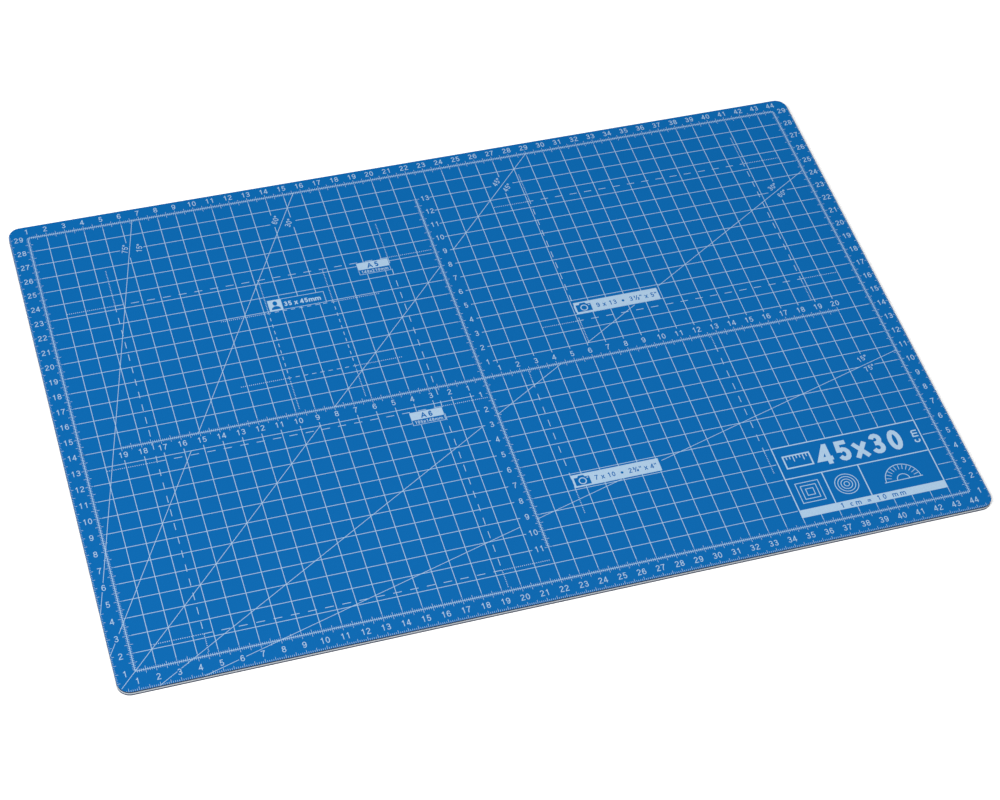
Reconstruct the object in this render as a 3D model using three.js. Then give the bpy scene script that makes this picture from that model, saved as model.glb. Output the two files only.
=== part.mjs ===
// A self-healing cutting mat for leather and paper work: five bonded PVC plies, with a white
// centimetre grid, centre scales, angle lines and label plates screen-printed on the work side.
// Millimetres, +Z up. The origin is the centre of the underside, X runs along the length.
import * as THREE from 'three';

// The mat
const LENGTH = 449.4;
const WIDTH = 299;
const CORNER_RADIUS = 6.5;
const CORNER_STEPS = 5;

// The plies, from the underside up: 3 mm in all
const PLIES = [
  { name: 'bottom_wear_sheet', thickness: 0.4, color: 0x16385a, roughness: 0.6 },
  { name: 'lower_soft_layer', thickness: 0.6, color: 0x1c3f61, roughness: 0.55 },
  { name: 'rigid_core', thickness: 1.0, color: 0xd3dadf, roughness: 0.35 },
  { name: 'upper_soft_layer', thickness: 0.6, color: 0x175f99, roughness: 0.5 },
  { name: 'top_wear_sheet', thickness: 0.4, color: 0x1769a9, roughness: 0.5 },
];
const PLY_STACK = PLIES.reduce((sum, ply) => sum + ply.thickness, 0);

// The print. Its coordinates start at the zero of the scales, at the mat's front left corner,
// and it sits a little to the left and the back, as the sheet was die-cut after printing.
const REGISTER = { x: -0.25, y: 0.7 };
const FILM = 0.03; // one pass of ink
const LEVEL = { lengthwise: 0, crosswise: 1, overprint: 2 }; // passes, one on top of the next
const PITCH = 10; // the grid is in centimetres
const SCALE_LENGTH = 450; // what the scales are laid out for
const SCALE_WIDTH = 300;
const INSET = 10; // from the zero lines to the frame round the grid
const FAR_X = SCALE_LENGTH - INSET;
const FAR_Y = SCALE_WIDTH - INSET;
const GRID_HALF = 0.2; // half the width of a stroke
const FRAME_HALF = 0.25;

// The two scales that cross at the middle of the work area
const CENTRE = { x: 220, y: 140 };
const LENGTHWISE_SCALE = { from: 30, to: 420 };
const CROSSWISE_SCALE = { from: 30, to: 270 };
const MARK_REACH = 2; // marks reach this far from the line they stand on

// Each angle line passes through a point of the left or front scale, and is broken where
// the numerals and the label plates stand. Runs are from x to x.
const ANGLE_STROKE = 0.35;
const ANGLE_LINES = [
  { degrees: 15, through: [42.7, 0], runs: [[42.7, 210], [220, 269], [292.5, 440]] },
  { degrees: 30, through: [20.3, 0], runs: [[20.3, 210], [220, 262], [280.6, 313.5], [330.5, 440]] },
  { degrees: 45, through: [0, 0], runs: [[2, 130], [140, 220], [230, 290]] },
  { degrees: 60, through: [0, 20.3], runs: [[0.6, 63.3], [69.2, 155.7]] },
  { degrees: 75, through: [0, 42.7], runs: [[0.6, 66.3]] },
];

// Label plates beside the outlines of paper and photo formats: x, y from and to
const LABEL_PLATES = {
  label_plate_35_by_45: [123.2, 209.5, 155.5, 217.3],
  label_plate_a5: [175.8, 224.2, 193.2, 231.7],
  label_plate_a6: [175.8, 119.5, 193.2, 127],
  label_plate_9_by_13: [281.3, 170, 329, 178],
  label_plate_7_by_10: [244, 61, 291, 69],
};

// The framed panel in the front right corner
const PANEL = { x0: 350, x1: 430, y0: 15.5, y1: 60, barTop: 20.3, shelf: 40 };
const PANEL_DIVIDERS = [370, 390];
const PANEL_HALF = 0.3;

/** A bar along X at height y on the sheet, as the corners [x0, y0, x1, y1]. */
const barAlongX = (y, x0, x1, half) => [x0, y - half, x1, y + half];

/** A bar along Y at x. */
const barAlongY = (x, y0, y1, half) => [x - half, y0, x + half, y1];

/** The values, sorted and each once. */
const sortedOnce = (values) => [...new Set(values)].sort((a, b) => a - b);

/**
 * Bars that cross or meet, as one closed slab of ink. The slab is made of the cells between
 * all the bars' edges, and a cell has a wall wherever its neighbour holds no ink.
 */
function inkSlab(bars, level) {
  const xs = sortedOnce(bars.flatMap(([x0, , x1]) => [x0, x1]));
  const ys = sortedOnce(bars.flatMap(([, y0, , y1]) => [y0, y1]));
  const low = PLY_STACK + level * FILM;
  const high = PLY_STACK + (level + 1) * FILM;
  const inked = (i, j) => bars.some(([x0, y0, x1, y1]) =>
    x0 <= xs[i] && xs[i + 1] <= x1 && y0 <= ys[j] && ys[j + 1] <= y1);
  const positions = [];
  const quad = (a, b, c, d) => positions.push(...a, ...b, ...c, ...a, ...c, ...d);
  const wall = ([ax, ay], [bx, by]) =>
    quad([ax, ay, low], [bx, by, low], [bx, by, high], [ax, ay, high]);
  for (let i = 0; i + 1 < xs.length; i += 1) {
    for (let j = 0; j + 1 < ys.length; j += 1) {
      if (!inked(i, j)) continue;
      const [x0, x1, y0, y1] = [xs[i], xs[i + 1], ys[j], ys[j + 1]];
      quad([x0, y0, high], [x1, y0, high], [x1, y1, high], [x0, y1, high]);
      quad([x0, y1, low], [x1, y1, low], [x1, y0, low], [x0, y0, low]);
      if (!inked(i, j - 1)) wall([x0, y0], [x1, y0]);
      if (!inked(i + 1, j)) wall([x1, y0], [x1, y1]);
      if (!inked(i, j + 1)) wall([x1, y1], [x0, y1]);
      if (!inked(i - 1, j)) wall([x0, y1], [x0, y0]);
    }
  }
  const slab = new THREE.BufferGeometry();
  slab.setAttribute('position', new THREE.Float32BufferAttribute(positions, 3));
  slab.computeVertexNormals();
  return slab;
}

/** The round-cornered outline of the mat, centred on the origin. */
function matOutline() {
  const x = LENGTH / 2 - CORNER_RADIUS;
  const y = WIDTH / 2 - CORNER_RADIUS;
  const outline = new THREE.Shape();
  outline.absarc(x, y, CORNER_RADIUS, 0, Math.PI / 2);
  outline.absarc(-x, y, CORNER_RADIUS, Math.PI / 2, Math.PI);
  outline.absarc(-x, -y, CORNER_RADIUS, Math.PI, 1.5 * Math.PI);
  outline.absarc(x, -y, CORNER_RADIUS, 1.5 * Math.PI, 2 * Math.PI);
  outline.closePath();
  return outline;
}

/** The plies, one on top of the next. */
function addPlies(group) {
  let height = 0;
  for (const { name, thickness, color, roughness } of PLIES) {
    const sheet = new THREE.ExtrudeGeometry(matOutline(), {
      depth: thickness, bevelEnabled: false, curveSegments: CORNER_STEPS,
    });
    const ply = new THREE.Mesh(sheet, new THREE.MeshStandardMaterial({ color, roughness }));
    ply.name = name;
    ply.position.z = height;
    height += thickness;
    group.add(ply);
  }
}

/** Whole centimetres from first to last. */
const centimetres = (first, last) =>
  Array.from({ length: (last - first) / PITCH + 1 }, (_, step) => first + step * PITCH);

/** Lines along X every centimetre, tied together by the frame's left and right lines, which
 *  they pass to make its centimetre marks. */
function lengthwiseGrid() {
  const [left, right] = [INSET - MARK_REACH, FAR_X + MARK_REACH];
  const bars = [INSET, FAR_X].map((x) => barAlongY(x, INSET, FAR_Y, FRAME_HALF));
  for (const y of centimetres(INSET + PITCH, FAR_Y - PITCH)) {
    if (y === CENTRE.y) continue;
    const stopped = y > PANEL.y0 && y <= PANEL.y1;
    const runs = stopped
      ? [[left, PANEL.x0 - PANEL_HALF], [PANEL.x1 + PANEL_HALF, right]]
      : [[left, right]];
    bars.push(...runs.map(([x0, x1]) => barAlongX(y, x0, x1, GRID_HALF)));
  }
  return inkSlab(bars, LEVEL.lengthwise);
}

/** Lines along Y every centimetre, tied together by the frame's front and back lines, which
 *  they pass to make its centimetre marks. */
function crosswiseGrid() {
  const [front, back] = [INSET - MARK_REACH, FAR_Y + MARK_REACH];
  const bars = [INSET, FAR_Y].map((y) =>
    barAlongX(y, INSET - FRAME_HALF, FAR_X + FRAME_HALF, FRAME_HALF));
  for (const x of centimetres(INSET + PITCH, FAR_X - PITCH)) {
    if (x === CENTRE.x) continue;
    const stopped = x >= PANEL.x0 && x <= PANEL.x1;
    const runs = stopped
      ? [[front, PANEL.y0 - PANEL_HALF], [PANEL.y1 + PANEL_HALF, back]]
      : [[front, back]];
    bars.push(...runs.map(([y0, y1]) => barAlongY(x, y0, y1, GRID_HALF)));
  }
  return inkSlab(bars, LEVEL.crosswise);
}

/** The line along X through the middle, with 5 mm marks where it is a scale. */
function lengthwiseScale() {
  const { from, to } = LENGTHWISE_SCALE;
  const bars = [barAlongX(CENTRE.y, INSET + FRAME_HALF, FAR_X - FRAME_HALF, FRAME_HALF)];
  for (const x of centimetres(from, to - PITCH)) {
    const [y0, y1] = [CENTRE.y - MARK_REACH, CENTRE.y + MARK_REACH];
    bars.push(barAlongY(x + PITCH / 2, y0, y1, GRID_HALF));
  }
  return inkSlab(bars, LEVEL.lengthwise);
}

/** The line along Y through the middle, with 5 mm marks where it is a scale. */
function crosswiseScale() {
  const { from, to } = CROSSWISE_SCALE;
  const bars = [barAlongY(CENTRE.x, INSET + FRAME_HALF, FAR_Y - FRAME_HALF, FRAME_HALF)];
  for (const y of centimetres(from, to - PITCH)) {
    const [x0, x1] = [CENTRE.x - MARK_REACH, CENTRE.x + MARK_REACH];
    bars.push(barAlongX(y + PITCH / 2, x0, x1, GRID_HALF));
  }
  return inkSlab(bars, LEVEL.crosswise);
}

/** One unbroken run of an angle line, between two x places. */
function angleRun(degrees, [throughX, throughY], [x0, x1]) {
  const angle = THREE.MathUtils.degToRad(degrees);
  const length = (x1 - x0) / Math.cos(angle);
  const middleX = (x0 + x1) / 2;
  const middleY = throughY + (middleX - throughX) * Math.tan(angle);
  const height = PLY_STACK + (LEVEL.overprint + 0.5) * FILM;
  const run = new THREE.BoxGeometry(length, ANGLE_STROKE, FILM).rotateZ(angle);
  return run.translate(middleX, middleY, height);
}

/** The corner panel: a frame with a solid bar at its foot, a shelf and two dividers. */
function cornerPanel() {
  const { x0, x1, y0, y1, barTop, shelf } = PANEL;
  const [left, right] = [x0 - PANEL_HALF, x1 + PANEL_HALF];
  const [foot, top] = [y0 - PANEL_HALF, y1 + PANEL_HALF];
  return inkSlab([
    [left, foot, right, barTop],
    ...[x0, x1].map((x) => barAlongY(x, foot, top, PANEL_HALF)),
    ...[shelf, y1].map((y) => barAlongX(y, left, right, PANEL_HALF)),
    ...PANEL_DIVIDERS.map((x) => barAlongY(x, foot, shelf + PANEL_HALF, PANEL_HALF)),
  ], LEVEL.lengthwise);
}

/** The whole print, placed on the work side of the mat. */
function printedArtwork() {
  const artwork = new THREE.Group();
  artwork.position.set(REGISTER.x - LENGTH / 2, REGISTER.y - WIDTH / 2, 0);
  const add = (name, geometry) => {
    const ink = new THREE.MeshStandardMaterial({ color: 0xdce9f5, roughness: 0.45 });
    const strokes = new THREE.Mesh(geometry, ink);
    strokes.name = name;
    artwork.add(strokes);
  };
  add('grid_lines_lengthwise', lengthwiseGrid());
  add('grid_lines_crosswise', crosswiseGrid());
  add('centre_scale_lengthwise', lengthwiseScale());
  add('centre_scale_crosswise', crosswiseScale());
  for (const { degrees, through, runs } of ANGLE_LINES) {
    runs.forEach((run, index) =>
      add(`angle_line_${degrees}_run_${index + 1}`, angleRun(degrees, through, run)));
  }
  for (const [name, corners] of Object.entries(LABEL_PLATES)) {
    add(name, inkSlab([corners], LEVEL.overprint));
  }
  add('corner_panel', cornerPanel());
  return artwork;
}

const mat = new THREE.Group();
addPlies(mat);
mat.add(printedArtwork());

export default mat;
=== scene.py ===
"""A self-healing cutting mat for leather and paper work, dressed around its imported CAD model.

Five bonded PVC plies are lofted round the die-cut outline, and the white screen print stands on
the work side as thin closed films of ink: a centimetre grid, millimetre scales, angle lines,
outlines of paper and photo formats with their label plates, and a panel in the front right
corner. Lengths in the dataclasses are millimetres. The print's own coordinates start at the
zero of its scales, at the front left corner. X runs along the mat and Y away from the maker.
"""

import logging
import math
from dataclasses import dataclass, field
from enum import Enum
from typing import Callable, Iterable, Sequence

import bpy
import numpy as np
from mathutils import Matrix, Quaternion, Vector


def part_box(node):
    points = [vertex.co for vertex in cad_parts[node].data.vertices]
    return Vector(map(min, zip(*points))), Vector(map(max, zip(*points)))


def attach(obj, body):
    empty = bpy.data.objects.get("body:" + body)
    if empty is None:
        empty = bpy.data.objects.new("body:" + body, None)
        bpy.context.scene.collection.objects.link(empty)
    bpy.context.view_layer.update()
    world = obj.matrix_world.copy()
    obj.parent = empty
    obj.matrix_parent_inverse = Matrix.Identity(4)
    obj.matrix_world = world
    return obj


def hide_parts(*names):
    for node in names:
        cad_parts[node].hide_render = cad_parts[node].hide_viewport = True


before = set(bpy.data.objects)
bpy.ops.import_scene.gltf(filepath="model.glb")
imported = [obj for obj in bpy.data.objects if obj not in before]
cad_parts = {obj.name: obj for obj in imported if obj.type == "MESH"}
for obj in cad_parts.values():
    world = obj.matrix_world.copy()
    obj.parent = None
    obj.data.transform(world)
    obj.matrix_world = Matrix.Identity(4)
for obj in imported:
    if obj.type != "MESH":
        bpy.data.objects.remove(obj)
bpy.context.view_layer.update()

log = logging.getLogger("cutting_mat")

MM = 0.001
BODY = "root"
CENTIMETRE = 10.0
CORNER_RADIUS = 6.5  # of the die-cut outline, in millimetres

Span = tuple[float, float]
Point = tuple[float, float]
Rect = tuple[float, float, float, float]


class Slot(Enum):
    """The record's material slots."""

    UNDERSIDE = "dark_pvc_sheet"
    LOWER_SOFT = "dark_soft_pvc"
    CORE = "clear_core"
    UPPER_SOFT = "blue_soft_pvc"
    WORK_SIDE = "blue_pvc_sheet"
    INK = "white_ink"


class Film(Enum):
    """How high each pass of the print stands over the sheet, in millimetres."""

    GRID = 0.020
    NUMERALS = 0.021
    SCALES = 0.022
    DASHES = 0.024
    ANGLES = 0.026
    PLATES = 0.028
    LETTERING = 0.033
    LENS = 0.036


class Weight(Enum):
    """Half the stroke of the lettering, as a share of its height."""

    REGULAR = 0.055
    MEDIUM = 0.078
    BOLD = 0.100


class Align(Enum):
    """What a line of lettering is set from."""

    LEFT = 0.0
    CENTRE = 0.5


# ---------------------------------------------------------------- shader node helpers


@dataclass
class NodeSheet:
    """A node tree with short ways to add nodes and to join them."""

    tree: bpy.types.NodeTree

    def node(self, kind: str, **settings: object) -> bpy.types.Node:
        """Add a node and set its properties.

        Args:
            kind: The node's type, without the ShaderNode prefix where it has one.
            settings: Properties of the node, by name.

        Returns:
            The new node.
        """
        name = kind if kind.startswith("Node") else f"ShaderNode{kind}"
        made = self.tree.nodes.new(name)
        for key, value in settings.items():
            setattr(made, key, value)
        return made

    def feed(self, socket: bpy.types.NodeSocket, value: object) -> None:
        """Join a socket to another, or set its own value.

        Args:
            socket: The input.
            value: An output socket, or a number, colour or vector.
        """
        if isinstance(value, bpy.types.NodeSocket):
            self.tree.links.new(value, socket)
        else:
            socket.default_value = value

    def maths(self, operation: str, first: object, second: object = 0.0,
              clamp: bool = False) -> bpy.types.NodeSocket:
        """Work out one sum with a Math node.

        Args:
            operation: The node's operation, such as MULTIPLY.
            first: The first number or socket.
            second: The second number or socket.
            clamp: Whether the result is kept from 0 to 1.

        Returns:
            The result's socket.
        """
        made = self.node("Math", operation=operation, use_clamp=clamp)
        self.feed(made.inputs[0], first)
        self.feed(made.inputs[1], second)
        return made.outputs[0]

    def mixed(self, share: object, first: object, second: object,
              blend: str = "MIX") -> bpy.types.NodeSocket:
        """Mix two colours.

        Args:
            share: How much of the second colour, from 0 to 1.
            first: The first colour or socket.
            second: The second colour or socket.
            blend: The way the two are blended.

        Returns:
            The mixed colour's socket.
        """
        made = self.node("Mix", data_type="RGBA", blend_type=blend)
        self.feed(made.inputs[0], share)
        self.feed(made.inputs[6], first)
        self.feed(made.inputs[7], second)
        return made.outputs[2]

    def noise(self, size: object, stretch: Sequence[float] = (1.0, 1.0, 1.0), detail: float = 2.0,
              roughness: float = 0.5) -> bpy.types.NodeSocket:
        """Noise on Object coordinates, with lumps about as long as the size.

        Args:
            size: Length of a lump in metres, or a socket that gives lumps per metre.
            stretch: What the coordinates are multiplied by along X, Y and Z.
            detail: Octaves of finer noise.
            roughness: How strong the finer octaves are.

        Returns:
            The noise value's socket, about 0.5 on average.
        """
        place = self.node("Mapping")
        place.inputs["Scale"].default_value = tuple(stretch)
        self.feed(place.inputs["Vector"], self.node("TexCoord").outputs["Object"])
        made = self.node("TexNoise")
        scale = size if isinstance(size, bpy.types.NodeSocket) else 1.0 / size
        self.feed(made.inputs["Scale"], scale)
        made.inputs["Detail"].default_value = detail
        made.inputs["Roughness"].default_value = roughness
        self.feed(made.inputs["Vector"], place.outputs["Vector"])
        return made.outputs["Fac"]


def effect(name: str, inputs: dict[str, tuple[str, object]],
           outputs: dict[str, str]) -> tuple[bpy.types.NodeTree, NodeSheet, dict, dict]:
    """Start a shader node group with named inputs and outputs.

    Args:
        name: The group's name.
        inputs: Socket kind and default value of each input, by name.
        outputs: Socket kind of each output, by name.

    Returns:
        The group, its node sheet, its input sockets by name and its output sockets by name.
    """
    group = bpy.data.node_groups.new(name, "ShaderNodeTree")
    for title, (kind, value) in inputs.items():
        socket = group.interface.new_socket(title, in_out="INPUT", socket_type=f"NodeSocket{kind}")
        socket.default_value = value
    for title, kind in outputs.items():
        group.interface.new_socket(title, in_out="OUTPUT", socket_type=f"NodeSocket{kind}")
    sheet = NodeSheet(group)
    entry, leaving = sheet.node("NodeGroupInput"), sheet.node("NodeGroupOutput")
    return group, sheet, dict(entry.outputs.items()), dict(leaving.inputs.items())


def calendered_grain() -> bpy.types.NodeTree:
    """The fine matt grain that the calender rolls press into a PVC sheet.

    Two noises are added: lumps of the grain's size, and slow ones thirty times as long that
    stand for the sheet's unevenness. Height is their weighted sum, and Mask the fine noise
    stretched about its middle.

    Returns:
        The node group, with inputs Lumps Per Metre and Unevenness, and outputs Height and Mask.
    """
    group, sheet, given, result = effect(
        "calendered_grain",
        {"Lumps Per Metre": ("Float", 2200.0), "Unevenness": ("Float", 0.3)},
        {"Height": "Float", "Mask": "Float"})
    fine = sheet.noise(given["Lumps Per Metre"], detail=3.0, roughness=0.6)
    slow = sheet.noise(sheet.maths("DIVIDE", given["Lumps Per Metre"], 30.0))
    lift = sheet.maths("MULTIPLY", slow, given["Unevenness"])
    sheet.feed(result["Height"], sheet.maths("ADD", fine, lift))
    spread = sheet.maths("MULTIPLY", sheet.maths("SUBTRACT", fine, 0.5), 3.0)
    sheet.feed(result["Mask"], sheet.maths("ADD", spread, 0.5, clamp=True))
    return group


def cloudy_tint() -> bpy.types.NodeTree:
    """Slow changes of shade in a coloured plastic, with finer flecks of the pigment.

    The shade is 1 plus the depth times two noises about zero: clouds as long as a hand's width
    and flecks of about a millimetre, the flecks a third as strong.

    Returns:
        The node group, with inputs Colour and Depth, and output Colour.
    """
    group, sheet, given, result = effect(
        "cloudy_tint",
        {"Colour": ("Color", (0.5, 0.5, 0.5, 1.0)), "Depth": ("Float", 0.1)},
        {"Colour": "Color"})
    clouds = sheet.maths("SUBTRACT", sheet.noise(0.11), 0.5)
    flecks = sheet.maths("MULTIPLY", sheet.maths("SUBTRACT", sheet.noise(0.0011), 0.5), 0.35)
    change = sheet.maths("MULTIPLY", sheet.maths("ADD", clouds, flecks), given["Depth"])
    shade = sheet.maths("ADD", change, 1.0)
    grey = sheet.node("CombineColor")
    for channel in grey.inputs[:3]:
        sheet.feed(channel, shade)
    sheet.feed(result["Colour"], sheet.mixed(1.0, given["Colour"], grey.outputs[0], "MULTIPLY"))
    return group


def die_cut_edge() -> bpy.types.NodeTree:
    """The drag lines that the cutting die leaves down the edge of a sheet.

    A noise is squeezed to a quarter of a millimetre along the outline and drawn out ten times
    as long down the edge. Mask is that noise where the cut edge attribute is 1.

    Returns:
        The node group, with input Strength, and outputs Height, Mask and Edge.
    """
    group, sheet, given, result = effect(
        "die_cut_edge", {"Strength": ("Float", 1.0)},
        {"Height": "Float", "Mask": "Float", "Edge": "Float"})
    edge = sheet.node("Attribute", attribute_name="cut_edge").outputs["Fac"]
    drag = sheet.noise(0.0006, stretch=(1.0, 1.0, 0.12), detail=3.0, roughness=0.65)
    strong = sheet.maths("MULTIPLY", drag, given["Strength"])
    sheet.feed(result["Height"], sheet.maths("MULTIPLY", strong, edge))
    contrast = sheet.maths("MULTIPLY", sheet.maths("SUBTRACT", drag, 0.35), 2.6, clamp=True)
    sheet.feed(result["Mask"], sheet.maths("MULTIPLY", contrast, edge))
    sheet.feed(result["Edge"], edge)
    return group


# ---------------------------------------------------------------- finishes


Colour = tuple[float, float, float]


@dataclass(frozen=True)
class Plastic:
    """What every finish of the mat shares."""

    slot: Slot
    colour: Colour
    roughness: float
    specular: float = 0.25
    depth: float = 0.10

    def start(self, name: str) -> tuple[bpy.types.Material, NodeSheet, bpy.types.Node]:
        """A new material with its Principled BSDF.

        Args:
            name: The material's name.

        Returns:
            The material, its node sheet and its Principled BSDF.
        """
        material = bpy.data.materials.new(name)
        material.use_nodes = True
        shader = material.node_tree.nodes["Principled BSDF"]
        shader.inputs["Roughness"].default_value = self.roughness
        shader.inputs["Specular IOR Level"].default_value = self.specular
        return material, NodeSheet(material.node_tree), shader

    def placed(self, sheet: NodeSheet, group: bpy.types.NodeTree,
               **values: object) -> bpy.types.Node:
        """Place a node group in the material with this finish's own values.

        Args:
            sheet: The material's node sheet.
            group: The effect.
            values: Values or sockets for its inputs, named with _ for a blank.

        Returns:
            The group's node.
        """
        made = sheet.node("Group", node_tree=group)
        for title, value in values.items():
            sheet.feed(made.inputs[title.replace("_", " ")], value)
        return made

    def bumped(self, sheet: NodeSheet, shader: bpy.types.Node, height: bpy.types.NodeSocket,
               strength: float, distance: float) -> None:
        """Feed a height to the shader's normal through a Bump node.

        Args:
            sheet: The material's node sheet.
            shader: The Principled BSDF.
            height: The height's socket.
            strength: The bump's strength.
            distance: What a height of 1 stands for, in metres.
        """
        bump = sheet.node("Bump")
        bump.inputs["Strength"].default_value = strength
        bump.inputs["Distance"].default_value = distance
        sheet.feed(bump.inputs["Height"], height)
        sheet.feed(shader.inputs["Normal"], bump.outputs["Normal"])


@dataclass(frozen=True)
class SheetPlastic(Plastic):
    """A calendered PVC sheet, grained on its face, dull on its cut edge and darker there with
    painted shade.
    """

    # The cut edge's colour, darkened with painted shade of the sheet's side.
    edge_colour: Colour = (0.02, 0.04, 0.08)
    lumps: float = 2200.0
    grain: float = 0.16

    def made(self, effects: dict[str, bpy.types.NodeTree]) -> bpy.types.Material:
        """Build the material.

        Args:
            effects: The shared node groups, by name.

        Returns:
            The material.
        """
        material, sheet, shader = self.start(self.slot.value)
        grain = self.placed(sheet, effects["grain"], Lumps_Per_Metre=self.lumps, Unevenness=0.4)
        cut = self.placed(sheet, effects["edge"], Strength=1.6)
        tint = self.placed(sheet, effects["tint"], Colour=(*self.colour, 1.0), Depth=self.depth)
        # The cut edge takes the darker colour of painted shade, with paler drag lines of the die on
        # it.
        pale_drag = tuple(min(1.0, 1.9 * part + 0.01) for part in self.edge_colour)
        edge = sheet.mixed(cut.outputs["Mask"], (*self.edge_colour, 1.0), (*pale_drag, 1.0))
        sheet.feed(shader.inputs["Base Color"],
                   sheet.mixed(cut.outputs["Edge"], tint.outputs["Colour"], edge))
        gloss = sheet.maths("MULTIPLY", grain.outputs["Mask"], 0.14)
        dull = sheet.maths("MULTIPLY", cut.outputs["Edge"], 0.2)
        rough = sheet.maths("ADD", sheet.maths("ADD", gloss, dull), self.roughness - 0.07)
        sheet.feed(shader.inputs["Roughness"], rough)
        height = sheet.maths("ADD", grain.outputs["Height"], cut.outputs["Height"])
        self.bumped(sheet, shader, height, self.grain, 0.00008)
        return material


@dataclass(frozen=True)
class SoftPlastic(Plastic):
    """A soft self-healing ply, seen only as the cut band between the sheets."""

    def made(self, effects: dict[str, bpy.types.NodeTree]) -> bpy.types.Material:
        """Build the material.

        Args:
            effects: The shared node groups, by name.

        Returns:
            The material.
        """
        material, sheet, shader = self.start(self.slot.value)
        cut = self.placed(sheet, effects["edge"], Strength=1.0)
        tint = self.placed(sheet, effects["tint"], Colour=(*self.colour, 1.0), Depth=self.depth)
        pale = tuple(min(1.0, 1.6 * part + 0.01) for part in self.colour)
        share = sheet.maths("MULTIPLY", cut.outputs["Mask"], 0.6)
        sheet.feed(shader.inputs["Base Color"],
                   sheet.mixed(share, tint.outputs["Colour"], (*pale, 1.0)))
        self.bumped(sheet, shader, cut.outputs["Height"], 0.35, 0.00006)
        return material


@dataclass(frozen=True)
class CorePlastic(Plastic):
    """The hard uncoloured core, milky, with the sheen of a clean cut."""

    def made(self, effects: dict[str, bpy.types.NodeTree]) -> bpy.types.Material:
        """Build the material.

        Args:
            effects: The shared node groups, by name.

        Returns:
            The material.
        """
        material, sheet, shader = self.start(self.slot.value)
        cut = self.placed(sheet, effects["edge"], Strength=0.8)
        tint = self.placed(sheet, effects["tint"], Colour=(*self.colour, 1.0), Depth=self.depth)
        deep = tuple(0.72 * part for part in self.colour)
        share = sheet.maths("MULTIPLY", cut.outputs["Mask"], 0.5)
        sheet.feed(shader.inputs["Base Color"],
                   sheet.mixed(share, tint.outputs["Colour"], (*deep, 1.0)))
        rough = sheet.maths("MULTIPLY", cut.outputs["Mask"], 0.25)
        sheet.feed(shader.inputs["Roughness"], sheet.maths("ADD", rough, self.roughness - 0.1))
        self.bumped(sheet, shader, cut.outputs["Height"], 0.3, 0.00005)
        return material


@dataclass(frozen=True)
class ScreenInk(Plastic):
    """Ink pulled through a screen: a thin film that lets a little of the sheet through."""

    sheet_colour: Colour = (0.003, 0.1, 0.33)
    thinness: float = 0.2

    def made(self, effects: dict[str, bpy.types.NodeTree]) -> bpy.types.Material:
        """Build the material.

        Args:
            effects: The shared node groups, by name.

        Returns:
            The material.
        """
        material, sheet, shader = self.start(self.slot.value)
        grain = self.placed(sheet, effects["grain"], Lumps_Per_Metre=3200.0, Unevenness=0.6)
        tint = self.placed(sheet, effects["tint"], Colour=(*self.colour, 1.0), Depth=self.depth)
        thin = sheet.maths("MULTIPLY", grain.outputs["Mask"], self.thinness)
        sheet.feed(shader.inputs["Base Color"],
                   sheet.mixed(thin, tint.outputs["Colour"], (*self.sheet_colour, 1.0)))
        rough = sheet.maths("MULTIPLY", grain.outputs["Mask"], 0.16)
        sheet.feed(shader.inputs["Roughness"], sheet.maths("ADD", rough, self.roughness - 0.08))
        self.bumped(sheet, shader, grain.outputs["Height"], 0.12, 0.00005)
        return material


# ---------------------------------------------------------------- mesh helpers


def new_piece(name: str, vertices: np.ndarray, faces: list[np.ndarray],
              material: bpy.types.Material, smooth: bool = False,
              edge_share: np.ndarray | None = None) -> bpy.types.Object:
    """Put whole arrays into a mesh and make it a piece of the mat.

    Args:
        name: The piece's name.
        vertices: Points in metres, an array of n by 3.
        faces: Arrays of vertex numbers, each with faces of one size as its rows.
        material: The finish.
        smooth: Whether the faces are shaded smooth.
        edge_share: For each vertex, 1 on a die-cut edge and 0 elsewhere.

    Returns:
        The piece, riding on the mat's body.
    """
    mesh = bpy.data.meshes.new(name)
    mesh.from_pydata(vertices.tolist(), [], [row for block in faces for row in block.tolist()])
    mesh.polygons.foreach_set("use_smooth", np.full(len(mesh.polygons), smooth))
    share = np.zeros(len(vertices)) if edge_share is None else edge_share
    attribute = mesh.attributes.new("cut_edge", "FLOAT", "POINT")
    attribute.data.foreach_set("value", share.astype(np.float32))
    mesh.materials.append(material)
    mesh.update()
    piece = bpy.data.objects.new(name, mesh)
    bpy.context.scene.collection.objects.link(piece)
    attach(piece, BODY)
    log.info("%s: %d faces", name, len(mesh.polygons))
    return piece


def prisms(outlines: np.ndarray, low: float, high: float) -> tuple[np.ndarray, list[np.ndarray]]:
    """Closed upright prisms on flat outlines.

    Each outline of k points gives 2k vertices, first at the low height and then at the high
    one. The top runs round the outline, the bottom runs back, and a wall joins each side.

    Args:
        outlines: An array of n outlines by k points by 2, counter-clockwise from above.
        low: Height of the bottoms.
        high: Height of the tops.

    Returns:
        The vertices, and the tops, bottoms and walls as arrays of vertex numbers.
    """
    count, sides = outlines.shape[:2]
    floor = np.full((count, sides, 1), low)
    vertices = np.stack([np.concatenate([outlines, floor], 2),
                         np.concatenate([outlines, floor - low + high], 2)], 1)
    start = (np.arange(count) * 2 * sides)[:, None]
    here = start + np.arange(sides)
    onward = start + (np.arange(sides) + 1) % sides
    walls = np.stack([here, onward, onward + sides, here + sides], 2).reshape(-1, 4)
    return vertices.reshape(-1, 3), [here + sides, here[:, ::-1], walls]


def rect_outlines(rects: np.ndarray) -> np.ndarray:
    """Outlines of upright rectangles, from rows of x0, y0, x1, y1."""
    return rects[:, [[0, 1], [2, 1], [2, 3], [0, 3]]]


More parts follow.
